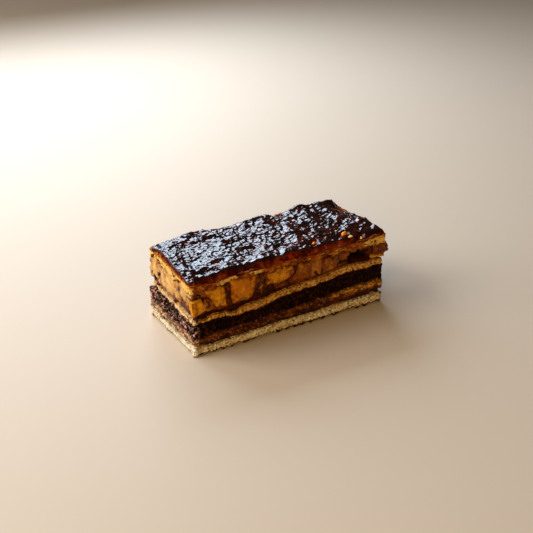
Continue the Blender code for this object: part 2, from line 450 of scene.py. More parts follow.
def coloured(shader, colour):
    """Gives the shader its colour."""
    feed(colour, shader.inputs["Base Color"])


def new_effect(name, *results):
    """A shader group with an input for its size and an output for each result."""
    tree = bpy.data.node_groups.new(name, "ShaderNodeTree")
    tree.interface.new_socket("Size", in_out="INPUT", socket_type="NodeSocketFloat")
    for result in results:
        tree.interface.new_socket(result, in_out="OUTPUT", socket_type="NodeSocketFloat")
    size = tree.nodes.new("NodeGroupInput").outputs["Size"]
    return tree, Value(size), own_place(tree)


def close_effect(tree, *results):
    """Ends an effect with its results."""
    for value, socket in zip(results, tree.nodes.new("NodeGroupOutput").inputs):
        feed(value, socket)
    return tree


def crumb_effect():
    """The grain of a broken crumb: a soft tone, open pores and the height of both."""
    tree, size, place = new_effect("crumb", "Tone", "Pores", "Height")
    tone = between(cloud(place, size, 4.0, 2.0), 0.35, 0.65)
    bent = place + drift(place, size, 1.0, 5.0) * (size * 0.8)
    holes = put(tree, "ShaderNodeTexVoronoi", {"Vector": bent, "Scale": 0.8 / size})[0]
    patchy = between(cloud(place, size * 3.0, 1.0, 8.0), 0.4, 0.55)
    pores = between(holes, 0.46, 0.16) * patchy
    return close_effect(tree, tone, pores, tone * 0.5 - pores)


def bits_effect():
    """Bits that lie side by side, each with a tone of its own, and the gaps between them."""
    tree, size, place = new_effect("bits", "Tone", "Gap")
    bent = place + drift(place, size, 2.0, 4.0) * (size * 1.2)
    away, draw, *_ = put(tree, "ShaderNodeTexVoronoi", {"Vector": bent, "Scale": 1.0 / size})
    return close_effect(tree, parts(draw)[0], between(away, 0.4, 0.75))


def effect(tree, group, size):
    """The results of an effect in this tree, at its own size."""
    return put(tree, "ShaderNodeGroup", {"Size": size}, node_tree=group)


# Where along X painted light pales the lit left face, and where along Y and X painted shade
# tones down the strongly lit long far face and the right end, from and to what share
LIT_END = (-47 * MM, -49.2 * MM)
FAR_SIDE_SHADE = (14 * MM, 20 * MM, 0.0, 0.95)
FAR_END_SHADE = (48 * MM, 50 * MM, 0.0, 0.95)
# Where along X the toasted base, partly painted contact shadow, grows paler at the lit end
PALE_BASE = (-50 * MM, -48 * MM, 0.6, 1.0)
AMBER_SHINE = (1.0, 0.5, 0.16, 1.0)


def lit_end_paint(place, colour, lit, share):
    """Painted light: the short left face, on which the light falls, is painted paler."""
    return mixed(between(parts(place)[0], *LIT_END, 0.0, share), colour, lit)


def pastry_material(name, pale, golden, toast_and_shadow, under, over, pore_shade, size, lit_end_colour=None):
    """Pastry from pale to golden in patches, toasted below the height under and above the
    height over, the lower band partly painted contact shadow, with pores of their own size that
    hold painted shade of their own colour. Towards the two far faces painted shade makes it more
    golden, and painted light may make its left end paler."""
    material, tree, shader, place = painted(
        name, 0.8, Specular_IOR_Level=0.15, Subsurface_Weight=0.1, Subsurface_Scale=1.2 * MM,
        Subsurface_Radius=(1.0, 0.6, 0.3))
    tone, pores, bumps = effect(tree, crumb, size)
    bit, gap = effect(tree, bits, 2.4 * size)
    patch = between(cloud(place, 1.6 * size, 5.0, 3.0), 0.42, 0.64) * 0.75 + bit * 0.12
    patch = calc("ADD", tone * 0.2, patch, clamp=True)
    x, y, _ = parts(place)
    # Painted shade: the strongly lit long far face and right end are painted more golden.
    far_shade = larger(between(y, *FAR_SIDE_SHADE), between(x, *FAR_END_SHADE))
    colour = mixed(larger(patch, far_shade), pale, golden)
    height = carried(tree, "height") + swing(place, 1.6 * MM, 0.16, 3.0, 6.0)
    # The lower toasted band is partly painted contact shadow.
    bottom = between(height, under + 0.1, under - 0.06)
    top = between(height, over - 0.24, over + 0.12)
    # Painted light: the lit left end is painted paler, and its toasted base less dark.
    if lit_end_colour:
        colour = lit_end_paint(place, colour, lit_end_colour, 0.8)
        bottom *= between(x, *PALE_BASE)
    colour = mixed(larger(bottom, top), colour, toast_and_shadow)
    # Painted shade in the pores, knife pits and gaps between crumbs.
    holes = larger(larger(pores, carried(tree, "pit")) * 0.95, gap * 0.12)
    coloured(shader, mixed(holes, colour, pore_shade))
    bumped(shader, bumps - gap * 0.3, 0.4 * MM)
    return material


# A full turn in radians
ANY_HEADING = 6.3
# Above the first height no grain is toasted, and below the second it is fully so; this toast
# is partly painted contact shadow
TOASTED = (1.2 * MM, 0.6 * MM)
# Where along Y painted shade darkens the grains of the long far face, from and to what
# share of light
FAR_GRAINS = (16 * MM, 21 * MM, 1.0, 0.5)


def sown_tree():
    """Grains sown on the sides of a piece and partly sunk, each turned and sized by its own
    draw, with a rough skin. None lie below the height bare, and their points carry their draw
    as tone."""
    tree, given = new_tree("sown", density=1.0, length=1.0, girth=1.0, unlike=0.3, sink=0.3,
                           faces=1.0, rough=0.0, bare=0.0, seed=0.0)
    place = put(tree, "GeometryNodeInputPosition")[0]
    seed, girth = given["seed"], given["girth"]
    on_side = (named(tree, "side") > 0.5) * (named(tree, "height") > given["bare"])
    points, outwards, *_ = put(
        tree, "GeometryNodeDistributePointsOnFaces",
        {"Mesh": given["Geometry"], "Selection": on_side, "Density": given["density"],
         "Seed": seed})
    lowered = placed(points, Offset=outwards * (given["sink"] * -1.0))
    lowered = stored(lowered, "tone", put(tree, "FunctionNodeRandomValue", {"Seed": seed})[1])
    ball = put(tree, "GeometryNodeMeshIcoSphere",
               {"Radius": 0.5, "Subdivisions": given["faces"]})[0]
    turn = put(tree, "FunctionNodeRandomValue", {0: (0, 0, 0), 1: [ANY_HEADING] * 3,
               "Seed": seed}, data_type="FLOAT_VECTOR")[0]
    draw = put(tree, "FunctionNodeRandomValue", {2: 1.0 - given["unlike"], 3: 1.0})[1]
    form = put(tree, "ShaderNodeCombineXYZ", {0: given["length"], 1: girth, 2: girth})[0]
    grains = put(tree, "GeometryNodeInstanceOnPoints",
                 {"Points": lowered, "Instance": ball, "Rotation": turn,
                  "Scale": form * draw})[0]
    grains = put(tree, "GeometryNodeRealizeInstances", {"Geometry": grains})[0]
    shift = (drift(place, girth * 0.6, 1.0) - 0.5) * (given["rough"] * girth)
    grains = placed(grains, Position=larger(place + shift, LOWEST))
    return close_tree(grains, given["material"])


def sown_piece(name, ground, node, material, **sizes):
    """Grains on a finished piece, as a piece of their own."""
    piece = linked(name, grown(ground, sown, material, **sizes))
    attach(piece, "root")
    return piece


def grain_material(name, dark, light, roughness, specular, lit_end_colour=None, toast_and_shadow=None):
    """Grains whose colour runs from dark to light by their own draw, darker with painted shade
    on the long far face, paler with painted light on the left end if given a colour for it,
    and toasted, partly as painted contact shadow, where they lie lowest."""
    material, tree, shader, place = painted(name, roughness, Specular_IOR_Level=specular,
                                            Specular_Tint=AMBER_SHINE)
    _, y, z = parts(place)
    # Painted shade: grains on the long far face are painted darker.
    tone = between(carried(tree, "tone"), 0.1, 1.0) * between(y, *FAR_GRAINS)
    colour = mixed(tone, dark, light)
    # Painted light: grains on the lit left end are painted paler.
    if lit_end_colour:
        colour = lit_end_paint(place, colour, lit_end_colour, tone * tone)
    # Toast on the lowest grains, partly painted contact shadow.
    if toast_and_shadow:
        low = z + swing(place, 1.6 * MM, 0.4 * MM, 3.0, 6.0)
        colour = mixed(between(low, *TOASTED), colour, toast_and_shadow)
    coloured(shader, mixed(cloud(place, 0.7 * MM, 2.0) * 0.5, colour, dark))
    bumped(shader, cloud(place, 0.3 * MM, 2.0), 0.1 * MM, 0.6)
    return material


crumb, bits = crumb_effect(), bits_effect()
cut_side = cut_side_tree()
sown = sown_tree()
# Its left-end colour is painted light, its toast partly painted contact shadow, and its pore
# colour painted shade.
bottom_pastry = cut_piece(
    layer_copy("bottom_pastry", cuts=6), "bottom_pastry",
    pastry_material("bottom_pastry", pale=srgb(255, 255, 228), golden=srgb(218, 168, 94),
                    toast_and_shadow=srgb(66, 26, 5), under=0.28, over=1.1, pore_shade=srgb(30, 11, 3),
                    size=0.8 * MM, lit_end_colour=srgb(240, 228, 198)),
    crag=1.8 * MM, crag_depth=0.3 * MM, leaf=1.2 * MM, leaf_depth=0.2 * MM,
    clod=1.0 * MM, clod_depth=0.3 * MM, pit=1.2 * MM, pit_depth=0.9 * MM, pit_share=0.26,
    seed=1.0)
# Their toast is partly painted contact shadow.
sown_piece("bottom_pastry_crumbs", bottom_pastry, "bottom_pastry",
           grain_material("bottom_pastry_crumbs", dark=srgb(220, 174, 102),
                          light=srgb(255, 255, 232), roughness=0.85, specular=0.12,
                          toast_and_shadow=srgb(96, 44, 10)),
           density=0.14e6, length=1.5 * MM, girth=1.1 * MM, unlike=0.6, sink=0.3 * MM,
           faces=2.0, rough=0.7, bare=0.32, seed=10.0)

# ---- Lower plum jam ------------------------------------------------------------------------
# A thin spread of dark plum jam between the bottom sheet and the walnuts, thickest at the
# right end. It is sticky and half glossy, and it stays a little behind the cut.

# Where along X syrup thinned the jam: it sets in over the first stretch and ends in the other
SYRUP_START = (-8 * MM, 6 * MM)
SYRUP_END = (32 * MM, 28 * MM)


def jam_material(name, deep, thin, syrupy=None):
    """Jam that is nearly black where it is thick, red brown in thin patches, and lighter
    over a stretch of the cut if syrup thinned it there."""
    material, tree, shader, place = painted(name, 0.35, Specular_IOR_Level=0.25,
                                            Specular_Tint=AMBER_SHINE)
    patch = between(cloud(place, 2.2 * MM, 4.0, 1.0), 0.42, 0.66)
    colour = mixed(patch, deep, thin)
    if syrupy:
        x = parts(place)[0]
        share = (patch * 0.4 + 0.5) * between(x, *SYRUP_START) * between(x, *SYRUP_END)
        colour = mixed(share * carried(tree, "side"), colour, syrupy)
    coloured(shader, colour)
    bumped(shader, cloud(place, 0.9 * MM, 3.0, 4.0), 0.3 * MM, 0.6)
    return material


cut_piece(layer_copy("lower_plum_jam", cuts=5), "lower_plum_jam",
          jam_material("lower_plum_jam", deep=srgb(34, 11, 6), thin=srgb(96, 42, 14)),
          crag=2.4 * MM, crag_depth=0.3 * MM, clod=0.9 * MM, clod_depth=0.14 * MM,
          inset=0.8 * MM, seed=2.0)

# ---- Walnut filling ------------------------------------------------------------------------
# Ground walnuts cooked with sugar and raisins into a moist, coarse paste. Bits of nut stand
# out of the cut, pale amber in the fresh break and dark brown where the syrup covers them.


# Where along X, and at what shares of the height, the fresh break sets in
FRESH_START = (14 * MM, 24 * MM)
FRESH_RISE = (0.2, 0.45)


def walnut_material():
    """Coarse brown paste, freshly broken and amber towards the right end, soaked dark under
    the poppy filling, with painted shade in its pores and gaps, and painted paler with light on
    the left face."""
    paste, nut, fresh = srgb(78, 30, 15), srgb(172, 95, 38), srgb(238, 164, 54)
    # The first colour is painted light for the left face, the last painted shade for pores and
    # gaps.
    lit_end_colour, syrup, dark = srgb(244, 198, 152), srgb(40, 14, 8), srgb(38, 14, 7)
    material, tree, shader, place = painted("walnut_filling", 0.55, Specular_IOR_Level=0.18)
    _, pores, bumps = effect(tree, crumb, 0.8 * MM)
    bit, gap = effect(tree, bits, 1.3 * MM)
    patch = between(cloud(place * (0.4, 0.4, 1.0), 2.0 * MM, 4.0, 2.0), 0.4, 0.6)
    colour = mixed(patch * (bit * 0.5 + 0.5), paste, nut)
    height = carried(tree, "height")
    light = between(parts(place)[0], *FRESH_START) * between(height, *FRESH_RISE)
    light *= between(cloud(place, 3.6 * MM, 3.0, 7.0), 0.36, 0.54)
    colour = mixed(light, colour, fresh)
    # Painted light on the lit left face.
    colour = lit_end_paint(place, colour, lit_end_colour, bit * 0.75 + 0.25)
    soaked = height + swing(place, 2.0 * MM, 0.2, 3.0, 9.0)
    colour = mixed(between(soaked, 0.72, 1.0, 0.0, 0.8), colour, syrup)
    # Painted shade in the pores and gaps.
    coloured(shader, mixed(larger(pores, gap) * 0.75, colour, dark))
    bumped(shader, bumps - gap, 0.5 * MM)
    return material


walnut_filling = cut_piece(
    layer_copy("walnut_filling", cuts=6), "walnut_filling", walnut_material(),
    crag=2.0 * MM, crag_depth=0.3 * MM, clod=1.5 * MM, clod_depth=0.8 * MM,
    pit=1.7 * MM, pit_depth=0.6 * MM, pit_share=0.35, seed=3.0)
# Their left-end colour is painted light.
sown_piece("walnut_bits", walnut_filling, "walnut_filling",
           grain_material("walnut_bits", dark=srgb(68, 25, 9), light=srgb(152, 80, 26),
                          roughness=0.5, specular=0.2, lit_end_colour=srgb(240, 196, 150)),
           density=0.16e6, length=2.1 * MM, girth=1.3 * MM, unlike=0.6, sink=0.25 * MM,
           faces=2.0, rough=0.8, seed=11.0)

# ---- Poppy filling -------------------------------------------------------------------------
# Ground poppy seed cooked with sugar, nearly black, with a cast of purple brown. It crumbles
# under the knife into clods, and whole seeds about a millimetre long show in the cut.


def poppy_material():
    """Clods of nearly black paste with painted shade in the gaps, and painted highlights on
    their tops on the left face.
    """
    # The third colour is a painted highlight for the lit left face.
    black, brown, lit_end_colour = srgb(10, 3, 3), srgb(98, 36, 32), srgb(232, 174, 160)
    material, tree, shader, place = painted("poppy_filling", 0.6, Specular_IOR_Level=0.1,
                                            Specular_Tint=AMBER_SHINE)
    _, _, bumps = effect(tree, crumb, 0.7 * MM)
    bit, gap = effect(tree, bits, 1.7 * MM)
    patch = between(cloud(place, 1.4 * MM, 4.0, 2.0), 0.45, 0.7)
    colour = mixed(patch * bit, black, brown)
    # Painted highlights on the clods of the lit left face.
    colour = lit_end_paint(place, colour, lit_end_colour, between(patch * 0.4 + bit, 0.5, 1.1))
    # Painted shade in the gaps between clods.
    coloured(shader, mixed(gap, colour, black))
    bumped(shader, bumps - gap, 0.4 * MM)
    return material


poppy_filling = cut_piece(
    layer_copy("poppy_filling", cuts=8), "poppy_filling", poppy_material(),
    crag=2.4 * MM, crag_depth=0.34 * MM, clod=1.9 * MM, clod_depth=1.1 * MM,
    pit=2.2 * MM, pit_depth=1.0 * MM, pit_share=0.45, seed=4.0)
# Their left-end colour is a painted highlight.
sown_piece("poppy_seeds", poppy_filling, "poppy_filling",
           grain_material("poppy_seeds", dark=srgb(10, 3, 4), light=srgb(72, 30, 28),
                          roughness=0.45, specular=0.3, lit_end_colour=srgb(208, 162, 152)),
           density=0.7e6, length=0.9 * MM, girth=0.6 * MM, unlike=0.3, sink=0.1 * MM,
           faces=1.0, seed=12.0)

# ---- Middle pastry -------------------------------------------------------------------------
# A thinner sheet of the same pastry, soaked golden by the fillings on both of its faces. It
# folds down in a V near the left end of the long cut face.

# Its left-end colour is painted light and its pore colour painted shade.
middle_pastry = cut_piece(
    layer_copy("middle_pastry", cuts=6), "middle_pastry",
    pastry_material("middle_pastry", pale=srgb(231, 183, 92), golden=srgb(160, 94, 22),
                    toast_and_shadow=srgb(122, 56, 10), under=0.1, over=1.08, pore_shade=srgb(66, 28, 6),
                    size=0.8 * MM, lit_end_colour=srgb(236, 206, 152)),
    crag=1.9 * MM, crag_depth=0.3 * MM, leaf=1.0 * MM, leaf_depth=0.25 * MM,
    clod=1.2 * MM, clod_depth=0.12 * MM, pit=1.5 * MM, pit_depth=0.9 * MM, pit_share=0.25,
    seed=5.0)
sown_piece("middle_pastry_crumbs", middle_pastry, "middle_pastry",
           grain_material("middle_pastry_crumbs", dark=srgb(182, 114, 38),
                          light=srgb(248, 202, 120), roughness=0.8, specular=0.15),
           density=0.08e6, length=1.3 * MM, girth=0.8 * MM, unlike=0.55, sink=0.2 * MM,
           faces=2.0, rough=0.7, seed=13.0)

# ---- Upper plum jam ------------------------------------------------------------------------
# The second spread of jam, under the apples, where their syrup has thinned it. It fills the
# fold of the pastry below and shines darkly in the cut.

cut_piece(layer_copy("upper_plum_jam", cuts=5), "upper_plum_jam",
          jam_material("upper_plum_jam", deep=srgb(28, 3, 2), thin=srgb(74, 15, 6),
                       syrupy=srgb(128, 66, 12)),
          crag=2.0 * MM, crag_depth=0.35 * MM, clod=0.8 * MM, clod_depth=0.16 * MM,
          inset=1.0 * MM, seed=6.0)

# ---- Apple filling -------------------------------------------------------------------------
# Pieces of apple cooked soft in caramel, which sets dark and glossy between them. The knife
# cut the outer pieces flat, and their flesh runs from pale straw to deep amber.

CARAMEL_INSET = 1.15 * MM
CARAMEL_CORNER = 3 * MM
CARAMEL_STEP = 0.45 * MM
CARAMEL_ROWS = 22
# The hollow in the long cut face near the right end: its middle, half width and depth, the
# share of the depth from which it carries no shreds, and where its painted shade sets in
HOLLOW_X = 37.5 * MM
HOLLOW_HALF = 6.5 * MM
HOLLOW_DEPTH = 4.5 * MM
HOLLOW_BARE = 0.4
HOLLOW_SHADE = (-21 * MM, -20 * MM)
HOLLOW_SHADE_START = HOLLOW_X - 10 * MM
# Painted shade for a recess in the cut, a darker patch of caramel: its middle along X, its
# fading half widths, and its top
RECESS_SHADE_X = -14 * MM
RECESS_SHADE_HALF = (9 * MM, 5 * MM)
RECESS_SHADE_TOP = (26 * MM, 24 * MM, 0.0, 0.8)
# A layer's height is read this far in from its ragged edges
EDGE_MARGIN = (2.6 * MM, 1.6 * MM)


def skin_of(obj):
    """The object's faces, to find where a ray meets them."""
    data = obj.data
    return BVHTree.FromPolygons([vert.co for vert in data.vertices],
                                [face.vertices for face in data.polygons])


jam_top = skin_of(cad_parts["upper_plum_jam"])
pastry_under = skin_of(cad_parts["top_pastry"])


def height_of(skin, x, y, way):
    """The height at which a ray along Z meets a skin, looking up for 1 and down for -1."""
    x = max(EDGE_MARGIN[0] - LENGTH / 2, min(LENGTH / 2 - EDGE_MARGIN[0], x))
    y = max(EDGE_MARGIN[1] - WIDTH / 2, min(WIDTH / 2 - EDGE_MARGIN[1], y))
    return skin.ray_cast(Vector((x, y, -way)), Vector((0, 0, way)))[0].z


def apple_room(x, y):
    """The heights between which the apple layer lies here."""
    return height_of(jam_top, x, y, -1), height_of(pastry_under, x, y, 1)


def rounded_outline(inset, corner, step):
    """Points and outward directions round the slice's rectangle, drawn in by inset."""
    half = Vector((LENGTH / 2 - inset, WIDTH / 2 - inset))
    for turn in range(4):
        across, along = (half.x, half.y) if turn % 2 == 0 else (half.y, half.x)
        facing = Vector((math.cos(turn * math.pi / 2), math.sin(turn * math.pi / 2)))
        sideways = Vector((-facing.y, facing.x))
        run = 2 * (along - corner)
        for count in range(round(run / step)):
            yield facing * across + sideways * (count * step - run / 2), facing
        centre = facing * (across - corner) + sideways * (along - corner)
        steps = max(1, round(corner * math.pi / 2 / step))
        for count in range(steps):
            angle = count / steps * math.pi / 2
            out = facing * math.cos(angle) + sideways * math.sin(angle)
            yield centre + out * corner, out


def caramel_slab():
    """The caramel between the apples as a closed slab with a bulging side."""
    bm = bmesh.new()
    side_layer, height_layer = layers_of(bm, "side", "height")
    rows = []
    for count in range(CARAMEL_ROWS + 1):
        share = count / CARAMEL_ROWS
        row = []
        for point, out in rounded_outline(CARAMEL_INSET, CARAMEL_CORNER, CARAMEL_STEP):
            sunk = math.exp(-((point.x - HOLLOW_X) / HOLLOW_HALF) ** 2) if point.y < 0 else 0
            point = point - out * HOLLOW_DEPTH * sunk
            low, high = apple_room(point.x, point.y)
            vert = bm.verts.new((point.x, point.y, low + (high - low) * share))
            vert[side_layer] = 1.0 if sunk < HOLLOW_BARE else 0.0
            vert[height_layer] = share
            row.append(vert)
        rows.append(row)
    for lower, upper in zip(rows, rows[1:]):
        for here in range(len(lower)):
            bm.faces.new((lower[here - 1], lower[here], upper[here], upper[here - 1]))
    caps = [bm.faces.new(rows[0][::-1]), bm.faces.new(rows[-1])]
    bmesh.ops.triangulate(bm, faces=caps)
    bmesh.ops.recalc_face_normals(bm, faces=bm.faces)
    return new_object("caramel", bm)


def caramel_material():
    """Caramel, amber where it is thin, and painted nearly black as shade in the hollow and in a
    recess left of the middle.
    """
    deep, thin, hollow, recess_shade = srgb(40, 9, 3), srgb(122, 50, 6), srgb(7, 2, 1), srgb(22, 3, 2)
    material, _, shader, place = painted("caramel", 0.3, Specular_IOR_Level=0.25,
                                         Specular_Tint=AMBER_SHINE)
    colour = mixed(between(cloud(place, 3.0 * MM, 4.0, 1.0), 0.42, 0.62), deep, thin)
    x, y, z = parts(place)
    # Painted shade: from a little before the hollow to the right end, all but the long cut face
    # is painted nearly black.
    colour = mixed(between(y, *HOLLOW_SHADE) * (x > HOLLOW_SHADE_START), colour, hollow)
    # Painted shade for the recess left of the middle, below its top.
    share = between(abs(x - RECESS_SHADE_X), *RECESS_SHADE_HALF) * between(z, *RECESS_SHADE_TOP)
    coloured(shader, mixed(share, colour, recess_shade))
    bumped(shader, cloud(place, 1.1 * MM, 3.0, 4.0), 0.45 * MM, 0.8)
    return material


caramel = cut_piece(
    caramel_slab(), "apple_filling", caramel_material(),
    crag=3.2 * MM, crag_depth=0.7 * MM, clod=1.3 * MM, clod_depth=0.22 * MM, seed=7.0)
sown_piece("apple_shreds", caramel, "apple_filling",
           grain_material("apple_shreds", dark=srgb(58, 17, 4), light=srgb(134, 66, 8),
                          roughness=0.3, specular=0.25),
           density=0.09e6, length=5.2 * MM, girth=2.4 * MM, unlike=0.6, sink=0.2 * MM,
           faces=2.0, rough=0.7, seed=14.0)

# The pieces that the knife cut on the long face: from and to along X, from and to in height,
# how far it stands out, how much wider it is at the top, how far it leans, all in
# millimetres but for the share of widening; then its flesh and how much syrup it took up.
AMBER = srgb(190, 114, 8)
YELLOW = srgb(202, 136, 12)
PALE = srgb(160, 100, 32)
STRAW = srgb(200, 157, 88)
BROWN = srgb(128, 64, 6)
RED = srgb(84, 30, 4)
FRONT_APPLES = (
    (-55.0, -43.2, 21.0, 28.2, 0.4, 0.0, 0.0, YELLOW, 0.0),
    (-45.8, -38.8, 20.8, 27.0, 0.1, 0.0, 0.0, BROWN, 0.1),
    (-49.0, -42.4, 27.8, 33.0, -0.4, 0.0, 0.0, BROWN, 0.4),
    (-42.0, -33.6, 20.8, 32.4, 0.4, 0.3, -2.2, YELLOW, 0.15),
    (-31.6, -18.6, 20.6, 33.4, 0.5, 0.2, 0.0, AMBER, 0.22),
    (-18.2, -12.8, 24.0, 31.0, -0.6, 0.0, 0.6, RED, 0.1),
    (-13.8, 1.6, 24.8, 33.0, 0.2, 0.0, 0.0, YELLOW, 0.35),
    (-9.0, -3.0, 22.2, 25.2, -0.5, 0.0, 0.0, RED, 0.1),
    (1.6, 10.2, 23.4, 32.0, 0.2, 0.0, 0.8, BROWN, 0.0),
    (9.6, 16.2, 23.6, 31.6, 0.0, 0.0, 0.0, PALE, 0.2),
    (15.4, 26.0, 23.6, 31.4, 0.1, 0.0, 0.0, BROWN, 0.35),
    (25.6, 31.0, 27.6, 31.6, -0.3, 0.0, 0.0, BROWN, 0.2),
    (24.6, 30.2, 23.8, 26.8, -0.2, 0.0, 0.0, RED, 0.1),
    (44.4, 51.7, 26.0, 31.4, 0.6, 0.0, 0.0, RED, 0.35),
    (43.2, 46.6, 24.0, 26.6, 0.3, 0.0, 0.0, YELLOW, -0.1),
    (46.4, 49.8, 23.2, 26.0, 0.4, 0.0, 0.0, YELLOW, 0.0),
)
LEFT_APPLES = (
    (-20.8, -8.6, 23.8, 32.4, 0.3, 0.1, 0.0, STRAW, 0.1),
    (-8.0, 13.5, 20.4, 31.8, 0.4, -0.1, 1.2, STRAW, 0.15),
    (13.2, 21.4, 21.6, 32.6, -0.2, 0.0, -0.8, STRAW, -0.1),
)
APPLE_DEPTH = 8.5 * MM
# How much of a piece the knife took off, and how softly its cut side is rounded off
CUT_OFF = 1 * MM
CUT_SOFT = 0.3 * MM
APPLE_MARGIN = 0.1 * MM
CORNER_OUT = 0.3 * MM
# A piece is a ball made boxy, then lumpy and bent: the power, and the size and share of each
BOXINESS = 2.8
LUMP_PITCH, LUMP = 1.9, 0.24
BEND_PITCH, BEND = 0.9, 0.22
GROWTH = 1.13
# Syrup stains the edge of a piece, its veins and its sides behind the cut, and painted shade
# darkens its lower side and the side away from the light
STAIN_EDGE, STAIN_RISE = 0.62, 1.3
VEIN_SIZE, VEIN = 2.2 * MM, 0.5
CUT_CLEAN, SIDE_STAIN = 0.1, 0.6
SHADED = 0.2
# The pieces on the hidden faces, drawn at random between two values: how far in the first one
# starts, their width, the gaps over the jam and under the pastry, the sizes that the shown
# ones have too, how far each starts before the end of the last, and their share of syrup
HIDDEN_START = (1, 2)
HIDDEN_APPLE = (8 * MM, 12.5 * MM)
HIDDEN_LOW, HIDDEN_HIGH = (0.4, 3.0), (0.2, 1.2)
HIDDEN_OUT, HIDDEN_WIDENING, HIDDEN_LEAN = (-0.5, 0.4), (-0.3, 0.3), (-2, 2)
HIDDEN_OVERLAP = (-1.8, 0.0)
HIDDEN_SOAKED = (0.1, 0.4)
BEND_SEED, HIDDEN_SEED, FLESH_SEED = 4, 31, 5


def add_apple(bm, flesh, syrup, spans, out, widening, lean, colour, soaked, facing):
    """A piece of apple with a flat side where the knife cut it, on the face that looks
    along facing. Its points carry the colour of its flesh and the share of syrup, with painted
    shade added to it."""
    start, end, low, high = (value * MM for value in spans)
    across = LENGTH if facing.x else WIDTH
    along = Vector((abs(facing.y), abs(facing.x)))
    mirror = along.cross(facing)
    cut = across / 2 + out * MM
    limit = -(LENGTH + WIDTH - across) / 2 - CORNER_OUT
    for vert in bmesh.ops.create_icosphere(bm, subdivisions=5, radius=1)["verts"]:
        box = vert.co / sum(abs(value) ** BOXINESS for value in vert.co) ** (1 / BOXINESS)
        lump = 1 + LUMP * noise.noise(box * LUMP_PITCH + Vector(spans[:3]))
        side, depth, rise = box * lump
        bend = noise.noise_vector(box * BEND_PITCH + Vector(spans[1:])) * BEND
        side, rise = side * GROWTH + bend.x, rise * GROWTH + bend.z
        edge = max(abs(side), abs(rise))
        side = side * mirror * (1 + widening * rise) * (end - start) / 2 + lean * MM * rise
        middle = (start + end) / 2
        if middle + side < limit:
            side, edge = limit - middle, abs(rise)
        over = CUT_OFF - APPLE_DEPTH * (1 - depth) / 2
        reach = cut - CUT_SOFT * math.log1p(math.exp(-over / CUT_SOFT))
        place = facing * reach + along * (middle + side)
        floor, ceiling = apple_room(place.x, place.y)
        height = (low + high) / 2 + rise * (high - low) / 2
        height = min(ceiling - APPLE_MARGIN, max(floor + APPLE_MARGIN, height))
        vert.co = (place.x, place.y, height)
        vein = noise.noise(vert.co / VEIN_SIZE + Vector((soaked, 0, 0)))
        stain_and_shade = (edge - STAIN_EDGE) * STAIN_RISE + vein * VEIN + soaked
        stain_and_shade += -CUT_CLEAN if depth > 0.5 else SIDE_STAIN
        # Painted shade: darker towards the bottom and the side away from the light.
        stain_and_shade += SHADED * (box.x * mirror - box.z)
        vert[flesh] = colour
        vert[syrup] = min(1, stain_and_shade)


def hidden_apples(length, draw):
    """Apple pieces side by side along a hidden face, drawn at random: the spans of each, how
    far it stands out, how much it widens and how far it leans."""
    start = -length / 2 + draw.uniform(*HIDDEN_START) * MM
    while start < length / 2 - HIDDEN_APPLE[1]:
        end = start + draw.uniform(*HIDDEN_APPLE)
        floor, ceiling = apple_room((start + end) / 2, 0)
        spans = (start / MM, end / MM, floor / MM + draw.uniform(*HIDDEN_LOW),
                 ceiling / MM - draw.uniform(*HIDDEN_HIGH))
        yield (spans, draw.uniform(*HIDDEN_OUT), draw.uniform(*HIDDEN_WIDENING),
               draw.uniform(*HIDDEN_LEAN))
        start = end + draw.uniform(*HIDDEN_OVERLAP) * MM


def apple_pieces():
    """All the cut pieces, those of the shown faces first."""
    noise.seed_set(BEND_SEED)
    bm = bmesh.new()
    bm.verts.layers.float_color.new("flesh")
    syrup, side_layer, height_layer = layers_of(bm, "syrup", "side", "height")
    flesh = bm.verts.layers.float_color["flesh"]
    for shown, facing in ((FRONT_APPLES, Vector((0, -1))), (LEFT_APPLES, Vector((-1, 0)))):
        for *spans, out, widening, lean, colour, soaked in shown:
            add_apple(bm, flesh, syrup, spans, out, widening, lean, colour, soaked, facing)
    draw, finish = random.Random(HIDDEN_SEED), random.Random(FLESH_SEED)
    for length, facing in ((WIDTH, Vector((1, 0))), (LENGTH, Vector((0, 1)))):
        for spans, out, widening, lean in hidden_apples(length, draw):
            colour = finish.choice((AMBER, PALE, YELLOW, AMBER, BROWN))
            add_apple(bm, flesh, syrup, spans, out, widening, lean, colour,
                      finish.uniform(*HIDDEN_SOAKED), facing)
    for vert in bm.verts:
        vert[side_layer], vert[height_layer] = 1.0, 0.5
    return new_object("apple_pieces", bm)


